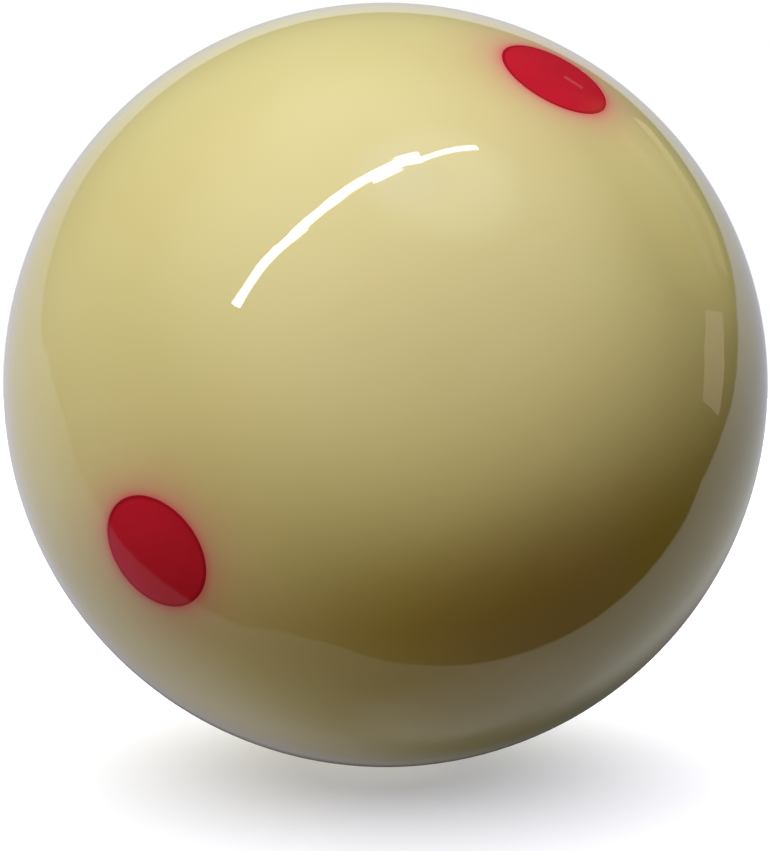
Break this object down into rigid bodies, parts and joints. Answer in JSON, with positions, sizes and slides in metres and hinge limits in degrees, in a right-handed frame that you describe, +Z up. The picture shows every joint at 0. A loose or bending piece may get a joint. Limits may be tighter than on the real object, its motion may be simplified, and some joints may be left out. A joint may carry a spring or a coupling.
{
  "type": "cue ball",
  "caption": "Cream pool cue ball with round red spots on three axes at right angles, each spot a plug set flush into a drilled bore.",
  "frame": {"origin": "the ball's centre", "axes": "+Z up, away from the surface that the ball rests on; -Y towards a person who sees the front spot low on the left and the top spot high on the right; +X to that person's right"},
  "size_m": [0.0572, 0.0572, 0.0572],
  "materials": {
    "cream_resin": "polished",
    "red_resin": "polished"
  },
  "bodies": {
    "root": {"ball_body": "cream_resin", "spot_plug_top": "red_resin", "spot_plug_bottom": "red_resin", "spot_plug_front": "red_resin", "spot_plug_back": "red_resin", "spot_plug_right": "red_resin", "spot_plug_left": "red_resin"}
  },
  "joints": []
}
